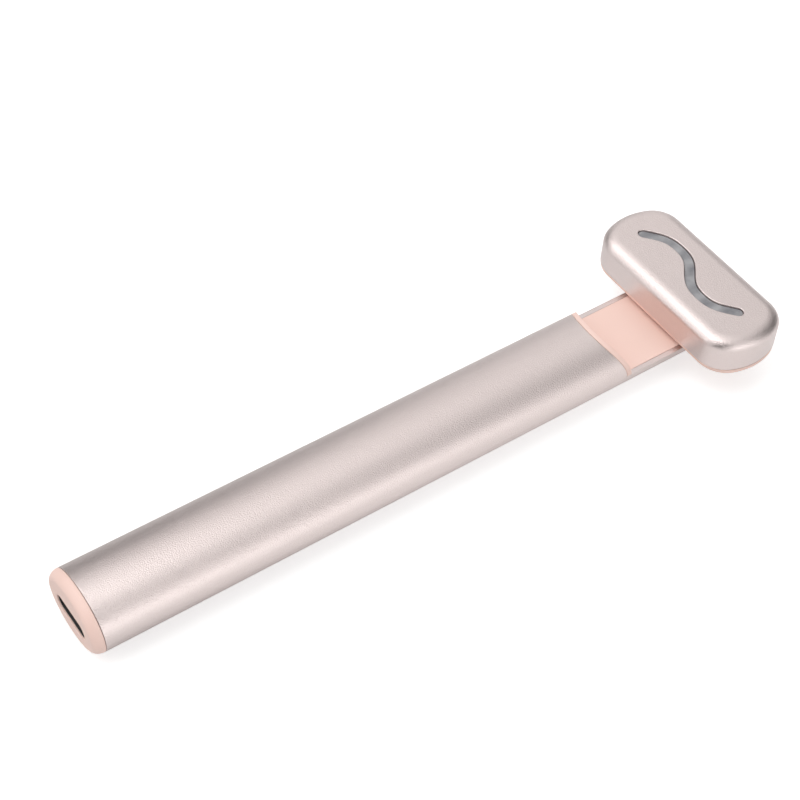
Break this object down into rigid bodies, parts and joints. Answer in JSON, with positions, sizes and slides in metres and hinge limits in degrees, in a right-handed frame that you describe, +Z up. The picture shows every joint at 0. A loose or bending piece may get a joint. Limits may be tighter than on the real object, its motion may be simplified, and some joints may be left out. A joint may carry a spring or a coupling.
{
  "type": "heated eye massager wand",
  "caption": "Oval aluminium wand with a half-lapped neck and a flat heated head that swivels on a hollow pivot, with a wave-shaped light window on top and a charging slot at the tail.",
  "frame": {"origin": "Bottom centre of the bounding box: below the middle of the overall length, on the plane that the underside of the handle touches.", "axes": "+X along the handle from the charging slot to the head, +Y across the handle and along the head at rest, +Z up through the heated plate, with the head standing across the handle as pictured."},
  "size_m": [0.1472, 0.0416, 0.0153],
  "materials": {
    "rose_aluminium": "sandblasted and anodised, pale rose champagne",
    "pink_plastic": "fine satin, pale pink",
    "grey_guide": "translucent grey, frosted",
    "white_plastic": "plain moulded",
    "black_plastic": "plain moulded",
    "circuit_board": "solder-masked glass-fibre laminate",
    "ferrite": "pressed ferrite",
    "cell_foil": "laminated aluminium foil pouch",
    "foam": "soft, matt",
    "red_insulation": "smooth wire insulation",
    "black_insulation": "smooth wire insulation",
    "steel": "plain, nickel plated",
    "brass": "turned",
    "copper": "tinned copper alloy",
    "polyimide": "amber polyimide film with printed track"
  },
  "bodies": {
    "handle": {"handle_tube": "rose_aluminium", "tail_cap": "pink_plastic", "neck_insert": "pink_plastic", "chassis": "white_plastic", "chassis_screw": "steel", "usb_shell": "steel", "usb_tongue": "black_plastic", "main_board": "circuit_board", "charge_chip": "black_plastic", "controller_chip": "black_plastic", "power_inductor": "ferrite", "board_screw_1": "steel", "board_screw_2": "steel", "battery_cell": "cell_foil", "cell_pad": "foam", "battery_lead_red": "red_insulation", "battery_lead_black": "black_insulation", "motor_lead_1": "red_insulation", "motor_lead_2": "black_insulation", "head_harness": "black_insulation", "motor_can": "steel", "motor_sleeve": "foam", "neck_board": "circuit_board", "hall_sensor": "black_plastic", "thrust_washer": "white_plastic", "wave_washer": "steel"},
    "rotor": {"motor_shaft": "steel", "eccentric_weight": "brass"},
    "head": {"swivel_stud": "brass", "retaining_ring": "steel", "stop_pin": "steel", "sense_magnet": "steel", "head_base": "pink_plastic", "head_shell": "rose_aluminium", "light_guide": "grey_guide", "led_board": "circuit_board", "led_1": "white_plastic", "led_2": "white_plastic", "led_3": "white_plastic", "led_4": "white_plastic", "led_5": "white_plastic", "led_6": "white_plastic", "heater_film": "polyimide", "thermistor": "copper", "shell_contact": "copper"}
  },
  "joints": [
    {"name": "head_swivel", "type": "hinge", "parent": "handle", "child": "head", "pos_m": [0.06455, 0, 0.0065], "axis": [0, 0, 1], "range_deg": [-90, 90]},
    {"name": "motor_spin", "type": "hinge", "parent": "handle", "child": "rotor", "pos_m": [0.02675, 0, 0.007], "axis": [1, 0, 0], "continuous": true}
  ]
}
